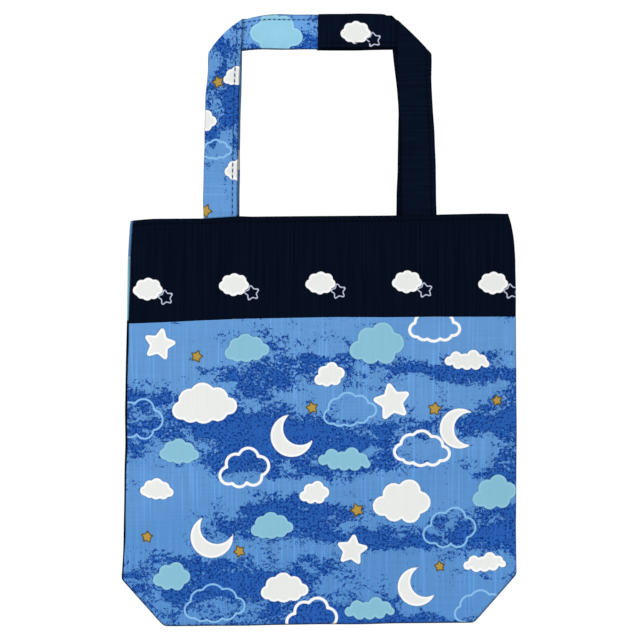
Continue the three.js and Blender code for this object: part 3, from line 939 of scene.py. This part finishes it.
def stitch_row(name, starts, ends, outward):
    """Short stitches, each from its start to its end, with both ends pulled into the cloth."""
    along = ends - starts
    along = along / np.linalg.norm(along, axis=1, keepdims=True)
    side = np.cross(along, outward)
    side = side / np.linalg.norm(side, axis=1, keepdims=True)
    rise = np.cross(side, along)
    stations = np.array([0.0, 0.16, 0.5, 0.84, 1.0])
    radii = THREAD_RADIUS * np.array([0.3, 0.9, 1.0, 0.9, 0.3])
    lift = THREAD_RADIUS * np.array([-1.1, 0.1, 0.35, 0.1, -1.1])
    turns = np.arange(THREAD_SIDES) * 2 * math.pi / THREAD_SIDES
    middle = starts[:, None] + (ends - starts)[:, None] * stations[None, :, None]
    middle = middle + rise[:, None] * lift[None, :, None]
    ring = side[:, None, None] * np.cos(turns)[None, None, :, None]
    ring = ring + rise[:, None, None] * np.sin(turns)[None, None, :, None]
    points = middle[:, :, None] + ring * radii[None, :, None, None]
    index = np.arange(points.size // 3).reshape(points.shape[:3])
    beside = np.roll(index, -1, axis=2)
    walls = np.stack([index[:, :-1], beside[:, :-1], beside[:, 1:], index[:, 1:]], axis=-1)
    caps = index[:, 0, ::-1].tolist() + index[:, -1].tolist()
    return add_mesh(name, points.reshape(-1, 3), walls.reshape(-1, 4).tolist() + caps)


def strap_stitches(name, strap, stitched_edge):
    outward = np.array([stitched_edge * (STRAP_WIDTH / 2 - STITCH_INSET)])
    starts, ends, normals = [], [], []
    for sign in (1, -1):
        reach = sign * (STRAP_THICKNESS / 2 - STRAP_SINK)
        last = strap.total - STRAP_FIRST_STITCH - STITCH_LENGTH
        along = np.arange(STRAP_FIRST_STITCH, last, STITCH_PITCH)
        middle = along + STITCH_LENGTH / 2
        starts.append(strap.place(outward, along, reach))
        ends.append(strap.place(outward, along + STITCH_LENGTH, reach))
        normals.append(strap.place(outward, middle, reach + sign) - strap.place(outward, middle, reach))
    return stitch_row(name, *(np.concatenate(rows) for rows in (starts, ends, normals)))


def hem_stitches(name, is_front):
    """The row that holds the turned hem, a little below the mouth's edge."""
    sides, sheet = cloth_of(is_front)[:2]
    rise = HEM_THICKNESS - HEM_SINK if is_front else BACK_HEM_SINK
    left, right = sides(np.array(MOUTH_Y - STITCH_INSET))

    def at(x):
        y = mouth_edge((x - left) / (right - left)) - STITCH_INSET
        return slanted(x, y, sheet(x, y, np.full(x.shape, FAR))[0] + rise)

    last = right - HEM_FIRST_STITCH - STITCH_LENGTH
    x = np.arange(left + HEM_FIRST_STITCH, last, STITCH_PITCH)
    up = np.array([[0.0, 0.0, 1.0 if is_front else -1.0]]).repeat(len(x), 0)
    return stitch_row(name, at(x), at(x + STITCH_LENGTH), up)


# The camera and the stage


def look_down():
    """The camera straight above, with a long lens. The photograph shows VIEW_WIDTH at the bag."""
    data = bpy.data.cameras.new("camera")
    data.sensor_width = 36.0
    data.lens = data.sensor_width * CAMERA_DISTANCE / VIEW_WIDTH
    camera = add("camera", data)
    x, y, z = VIEW_MIDDLE
    camera.location = (x * MM, y * MM, (z + CAMERA_DISTANCE) * MM)
    bpy.context.scene.camera = camera


def light_all_round():
    """Even white light from all round, and less from below the table."""
    world = bpy.data.worlds.new("studio")
    bpy.context.scene.world = world
    world.use_nodes = True
    nodes, links = world.node_tree.nodes, world.node_tree.links
    up = nodes.new("ShaderNodeSeparateXYZ")
    links.new(nodes.new("ShaderNodeTexCoord").outputs["Generated"], up.inputs[0])
    brightness = nodes.new("ShaderNodeMapRange")
    links.new(up.outputs[2], brightness.inputs["Value"])
    limits = {"From Min": -HORIZON, "From Max": HORIZON, "To Min": LOW_LIGHT, "To Max": ROUND_LIGHT}
    for key, value in limits.items():
        brightness.inputs[key].default_value = value
    nodes["Background"].inputs["Color"].default_value = (1.0, 1.0, 1.0, 1.0)
    links.new(brightness.outputs[0], nodes["Background"].inputs["Strength"])


def light_from_left():
    """A soft light from the upper left."""
    sun = bpy.data.lights.new("key", "SUN")
    sun.energy = SUN_STRENGTH
    sun.angle = math.radians(SUN_SPREAD)
    add("key", sun).rotation_euler = [math.radians(turn) for turn in SUN_TURN]


def lay_floor():
    """A white floor that takes the bag's shadow out of the picture."""
    size = FLOOR_HALF
    corners = [(-size, -size, 0), (size, -size, 0), (size, size, 0), (-size, size, 0)]
    floor = add_mesh("floor", corners, [(0, 1, 2, 3)])
    floor.location.z = -FLOOR_DROP * MM
    shader = Shader("white_floor")
    glow = shader.node("ShaderNodeEmission", {"Color": (1.0, 1.0, 1.0, 1.0), "Strength": FLOOR_GLOW})
    shader.node("ShaderNodeOutputMaterial", {"Surface": glow.outputs[0]})
    floor.data.materials.append(shader.material)
    floor.visible_diffuse = False
    floor.visible_glossy = False


# Materials


def linear(red, green, blue):
    """A colour given from 0 to 255, as the shaders want it."""
    shares = [c / 255 for c in (red, green, blue)]
    return tuple(s / 12.92 if s <= 0.04045 else ((s + 0.055) / 1.055) ** 2.4 for s in shares) + (1.0,)


LIGHT_BLUE = linear(101, 155, 214)
# A duller blue, for dull spots and for the painted shade towards the panel's bottom.
DULL_AND_SHADED_BLUE = linear(86, 143, 206)
DEEP_BLUE = linear(36, 93, 176)
DARK_BLUE = linear(5, 56, 137)
AQUA = linear(137, 193, 216)
AQUA_RIM = linear(145, 200, 222)
WHITE = linear(236, 238, 236)
WHITE_RIM = linear(252, 252, 252)
PALE_BLUE = linear(140, 194, 238)
LILAC = linear(206, 214, 238)
GOLD = linear(184, 150, 66)
GOLD_EDGE = linear(92, 82, 44)
NAVY = linear(3, 10, 26)
NAVY_LIGHT = linear(9, 18, 35)
THREAD_BLUE = linear(30, 66, 138)
THREAD_NAVY = linear(4, 8, 18)

# Noise in the cloth: cells in 100 mm across and along it, detail, offset, distortion, roughness.
SLUBS = ((58.0, 1.3), 1.0)
CROSS_SLUBS = ((2.5, 70.0), 1.0, (3.0, 5.0, 0.0))
GRAIN = ((38.0, 42.0), 3.0, (7.0, 3.0, 0.0), 0.0, 0.8)
SPECKS = ((52.0, 52.0), 1.0, (1.0, 9.0, 0.0))
STREAKS = ((0.6, 2.4), 3.0, (0.4, 1.7, 0.0), 0.4, 0.4)
PATCHES = ((6.5, 9.5), 2.0, (2.0, 6.0, 0.0), 0.5)
DULLNESS = ((1.1, 2.2), 1.0, (5.0, 2.0, 0.0))

# How strongly they part the print's blues, and where the deep and the dark blue begin.
GRAIN_SHARE = 1.1
SPECK_SHARE = 1.4
STREAK_SHARE = 2.1
PATCH_SHARE = 0.8
DULL_SHARE = 0.3
DEEP_FROM, DEEP_TO = 0.475, 0.505
DARK_FROM, DARK_TO = 0.43, 0.48
CORE_CLEARS = 0.5

# Soft steps: from, to, and the results there.
DULL_SPOTS = (0.35, 0.7)
# Painted shade: darker towards the bottom of the panel.
PAINTED_SHADE_BELOW = (-0.1, -2.4, 0.0, 0.75)
THICK_YARNS = (0.56, 0.7)
THIN_YARNS = (0.25, 0.5, 0.94, 1.0)
LIGHT_YARNS = (0.57, 0.7, 1.0, 1.2)
CROSS_YARNS = (0.25, 0.75, 0.965, 1.035)
INK_YARNS = (0.3, 0.6, 0.985, 1.01)
NAVY_YARNS = (0.25, 0.8)
NAVY_CROSS_YARNS = (0.2, 0.8, 0.6, 1.0)
PRINT_ROUGHNESS = (0.2, 0.8, 0.9, 0.8)
NAVY_ROUGHNESS = (0.2, 0.8, 0.92, 0.82)
THREAD_ROUGHNESS = (0.3, 0.7, 0.7, 0.9)
# Painted shade along the cloth's turned edges and its rows of stitches.
EDGE_SHADE = (0.0, 0.85, 0.3, 1.0)
ROW_SHADE = (0.3, 1.1, 0.8, 1.0)
MOTIF_SHADE = (0.1, 1.1, 0.74, 1.0)

# Motifs, in millimetres
EDGE_SOFT = 0.3
RIM_WIDTH = 1.5
RIM_SOFT = 0.4
GOLD_RIM_WIDTH = 0.7
GOLD_RIM_SOFT = 0.3
LINE_WIDTH = 2.3
PALE_LINE_WIDTH = 1.5
NAVY_LINE_WIDTH = 0.7

# Weave
YARN_PITCH = 0.55
WEAVE_RELIEF = 0.07
WEAVE_LEVEL = 0.4
SLUB_RELIEF = 0.3
THICK_RELIEF = 0.5
CROSS_RELIEF = 0.2
PRINT_BUMP = 0.07
NAVY_BUMP = 0.1
THREAD_BUMP = 0.04
THREAD_FUZZ = 6000.0


class Shader:
    """Builds a material's nodes with little text."""

    def __init__(self, name):
        self.material = bpy.data.materials.new(name)
        self.material.use_nodes = True
        self.tree = self.material.node_tree
        self.tree.nodes.clear()

    def node(self, kind, inputs, **settings):
        node = self.tree.nodes.new(kind)
        for key, value in settings.items():
            setattr(node, key, value)
        for key, value in inputs.items():
            if isinstance(value, bpy.types.NodeSocket):
                self.tree.links.new(value, node.inputs[key])
            else:
                node.inputs[key].default_value = value
        return node

    def maths(self, operation, *values):
        return self.node("ShaderNodeMath", dict(enumerate(values)), operation=operation).outputs[0]

    def step(self, value, low, high, bottom=0.0, top=1.0):
        inputs = {"Value": value, "From Min": low, "From Max": high, "To Min": bottom, "To Max": top}
        return self.node("ShaderNodeMapRange", inputs, interpolation_type="SMOOTHSTEP").outputs[0]

    def blend(self, share, low, high):
        return self.node("ShaderNodeMix", {0: share, 6: low, 7: high}, data_type="RGBA").outputs[2]

    def shaded(self, colour, share):
        """The colour multiplied by a share."""
        grey = self.node("ShaderNodeCombineXYZ", {0: share, 1: share, 2: share}).outputs[0]
        return self.node("ShaderNodeVectorMath", {0: colour, 1: grey}, operation="MULTIPLY").outputs[0]

    def painted_edge_shade(self, colour):
        """Painted shade: the colour darkened along the cloth's turned edges and its rows of stitches.
        """
        by_edge = self.step(self.distance("edge"), *EDGE_SHADE)
        by_row = self.step(self.maths("ABSOLUTE", self.distance("row")), *ROW_SHADE)
        return self.shaded(colour, self.maths("MULTIPLY", by_edge, by_row))

    # Painted light and shade: the colour made lighter or darker by the fades.
    def painted_light_and_shade(self, colour):
        return self.shaded(colour, self.maths("ADD", self.distance("fade"), 1.0))

    def outlined(self, colour, key, ink, width):
        """A line of ink along the edges of the motifs of one kind."""
        off_line = self.maths("SUBTRACT", self.maths("ABSOLUTE", self.distance(key)), width / 2)
        return self.blend(self.step(off_line, EDGE_SOFT, -EDGE_SOFT), colour, ink)

    def filled(self, colour, key, ink, rim, rim_width=RIM_WIDTH, rim_soft=RIM_SOFT):
        """The motifs of one kind filled with ink, with a rim of its own colour."""
        distance = self.distance(key)
        fill = self.blend(self.step(distance, -rim_width - rim_soft, -rim_width), ink, rim)
        return self.blend(self.step(distance, EDGE_SOFT, -EDGE_SOFT), colour, fill)

    def distance(self, key):
        return self.node("ShaderNodeAttribute", {}, attribute_name=key).outputs["Fac"]

    def cloth_place(self):
        return self.node("ShaderNodeUVMap", {}, uv_map="cloth").outputs["UV"]

    def texture(self, place, cells, detail=2.0, offset=(0.0, 0.0, 0.0), distortion=0.0, roughness=0.5):
        inputs = {"Vector": place, "Scale": (*cells, 1.0), "Location": offset}
        stretched = self.node("ShaderNodeMapping", inputs)
        inputs = {"Vector": stretched.outputs[0], "Scale": 1.0, "Detail": detail}
        inputs.update(Distortion=distortion, Roughness=roughness)
        return self.node("ShaderNodeTexNoise", inputs).outputs["Fac"]

    def woven(self, place):
        """Height of the plain weave with its thick yarns, from 0 to 1, and both yarns' noise."""
        split = self.node("ShaderNodeSeparateXYZ", {0: place})
        turns = 2 * math.pi / (YARN_PITCH * UV_SCALE)
        over = self.maths("SINE", self.maths("MULTIPLY", split.outputs[0], turns))
        under = self.maths("SINE", self.maths("MULTIPLY", split.outputs[1], turns))
        crossed = self.maths("MULTIPLY", over, under)
        weave = self.maths("MULTIPLY_ADD", crossed, WEAVE_RELIEF, WEAVE_LEVEL)
        slub = self.texture(place, *SLUBS)
        cross = self.texture(place, *CROSS_SLUBS)
        height = self.maths("MULTIPLY_ADD", slub, SLUB_RELIEF, weave)
        height = self.maths("MULTIPLY_ADD", self.step(slub, *THICK_YARNS), THICK_RELIEF, height)
        return self.maths("MULTIPLY_ADD", cross, CROSS_RELIEF, height), slub, cross

    def finish(self, colour, roughness, gloss, sheen, height, depth):
        bump = self.node("ShaderNodeBump", {"Height": height, "Distance": depth * MM, "Strength": 0.8})
        inputs = {
            "Base Color": colour,
            "Roughness": roughness,
            "Specular IOR Level": gloss,
            "Sheen Weight": sheen,
            "Sheen Roughness": 0.5,
            "Normal": bump.outputs[0],
        }
        surface = self.node("ShaderNodeBsdfPrincipled", inputs)
        self.node("ShaderNodeOutputMaterial", {"Surface": surface.outputs[0]})
        return self.material


def print_material():
    shader = Shader("print_cloth")
    place = shader.cloth_place()
    height, slub, cross = shader.woven(place)
    grain, specks, streaks, patches, slow = (
        shader.texture(place, *noise) for noise in (GRAIN, SPECKS, STREAKS, PATCHES, DULLNESS)
    )
    spread = shader.maths("MULTIPLY_ADD", streaks, STREAK_SHARE, (1 - STREAK_SHARE) / 2)
    level = shader.maths("SUBTRACT", spread, PATCH_SHARE / 2)
    patched = shader.maths("MULTIPLY_ADD", patches, PATCH_SHARE, level)
    toned = shader.maths("ADD", patched, shader.distance("tone"))
    level = shader.maths("SUBTRACT", toned, GRAIN_SHARE / 2)
    speckled = shader.maths("MULTIPLY_ADD", grain, GRAIN_SHARE, level)
    core_level = 0.5 + CORE_CLEARS * DEEP_FROM - SPECK_SHARE / 2
    core = shader.maths("MULTIPLY_ADD", toned, -CORE_CLEARS, core_level)
    dark = shader.maths("MULTIPLY_ADD", specks, SPECK_SHARE, core)
    # Painted shade: the light blue turns duller towards the bottom of the panel, on top of dull spots
    # from noise.
    down = shader.node("ShaderNodeSeparateXYZ", {0: place}).outputs[1]
    below = shader.step(down, *PAINTED_SHADE_BELOW)
    dull_and_shade = shader.maths("MULTIPLY_ADD", shader.step(slow, *DULL_SPOTS), DULL_SHARE, below)
    light = shader.blend(dull_and_shade, LIGHT_BLUE, DULL_AND_SHADED_BLUE)
    deep = shader.blend(shader.step(dark, DARK_FROM, DARK_TO), DEEP_BLUE, DARK_BLUE)
    colour = shader.blend(shader.step(speckled, DEEP_FROM, DEEP_TO), light, deep)
    fine = shader.maths("MULTIPLY", shader.step(slub, *THIN_YARNS), shader.step(cross, *CROSS_YARNS))
    yarns = shader.maths("MULTIPLY", fine, shader.step(slub, *LIGHT_YARNS))
    colour = shader.shaded(colour, yarns)
    colour = shader.outlined(colour, "line", WHITE_RIM, LINE_WIDTH)
    colour = shader.outlined(colour, "pale_line", PALE_BLUE, PALE_LINE_WIDTH)
    for key, ink, rim in (("aqua", AQUA, AQUA_RIM), ("white", WHITE, WHITE_RIM)):
        colour = shader.shaded(colour, shader.step(shader.distance(key), *MOTIF_SHADE))
        colour = shader.filled(colour, key, ink, rim)
    colour = shader.filled(colour, "gold", GOLD, GOLD_EDGE, GOLD_RIM_WIDTH, GOLD_RIM_SOFT)
    colour = shader.shaded(colour, shader.step(slub, *INK_YARNS))
    colour = shader.painted_edge_shade(shader.painted_light_and_shade(colour))
    rough = shader.step(slub, *PRINT_ROUGHNESS)
    return shader.finish(colour, rough, gloss=0.12, sheen=0.05, height=height, depth=PRINT_BUMP)


def navy_material():
    shader = Shader("navy_cloth")
    height, slub, cross = shader.woven(shader.cloth_place())
    yarns, cross_yarns = shader.step(slub, *NAVY_YARNS), shader.step(cross, *NAVY_CROSS_YARNS)
    colour = shader.blend(shader.maths("MULTIPLY", yarns, cross_yarns), NAVY, NAVY_LIGHT)
    colour = shader.outlined(shader.painted_light_and_shade(colour), "line", LILAC, NAVY_LINE_WIDTH)
    colour = shader.painted_edge_shade(shader.filled(colour, "white", WHITE, WHITE_RIM))
    rough = shader.step(slub, *NAVY_ROUGHNESS)
    return shader.finish(colour, rough, gloss=0.02, sheen=0.01, height=height, depth=NAVY_BUMP)


def thread_material(name, colour):
    shader = Shader(name)
    place = shader.node("ShaderNodeTexCoord", {}).outputs["Object"]
    fuzz = shader.node("ShaderNodeTexNoise", {"Vector": place, "Scale": THREAD_FUZZ}).outputs["Fac"]
    rough = shader.step(fuzz, *THREAD_ROUGHNESS)
    return shader.finish(colour, rough, gloss=0.03, sheen=0.0, height=fuzz, depth=THREAD_BUMP)


# The whole bag


def build():
    print_cloth, navy_cloth = print_material(), navy_material()
    thread_blue = thread_material("blue_thread", THREAD_BLUE)
    thread_navy = thread_material("navy_thread", THREAD_NAVY)
    border = border_print(BORDER_FIRST_X, MOUTH_Y - BORDER_DROP, BORDER_TILT)
    panel_top = MOUTH_Y - BAND_HEIGHT
    back_border = border_print(BORDER_FIRST_X + BACK_BORDER_SHIFT, panel_top - BORDER_DROP, 0.0)
    printed = [
        (panel_piece("front_panel_cloth", True, PANEL_PRINT), "front_panel", True),
        (band_piece("front_band_cloth", True, border, {}), "front_band", False),
        (panel_piece("back_panel_cloth", False, back_border), "back_panel", False),
        (band_piece("back_band_cloth", False, BACK_BAND_PRINT, ROLLED_EDGE_PRINT), "back_band", True),
    ]
    straps = {node: Strap(*row) for node, row in STRAPS.items()}
    rows = [
        (hem_stitches("front_hem_stitches", True), False),
        (hem_stitches("back_hem_stitches", False), True),
    ]
    for node, strap in straps.items():
        is_print = strap.side < 0
        if is_print:
            motifs = FRONT_STRAP_PRINT if strap.is_front else BACK_STRAP_PRINT
        else:
            motifs = NAVY_STRAP_PRINT if strap.is_front else {}
        piece = strap_piece(node + "_cloth", strap, motifs, strap.side)
        printed.append((piece, node, is_print))
        rows.append((strap_stitches(node + "_stitches", strap, strap.side), is_print))
    for piece, node, is_print in printed:
        piece.data.materials.append(print_cloth if is_print else navy_cloth)
        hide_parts(node)
        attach(piece, "root")
    for row, is_print in rows:
        row.data.materials.append(thread_blue if is_print else thread_navy)
        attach(row, "root")


look_down()
light_all_round()
light_from_left()
lay_floor()
bpy.context.scene.view_settings.view_transform = "Standard"
build()
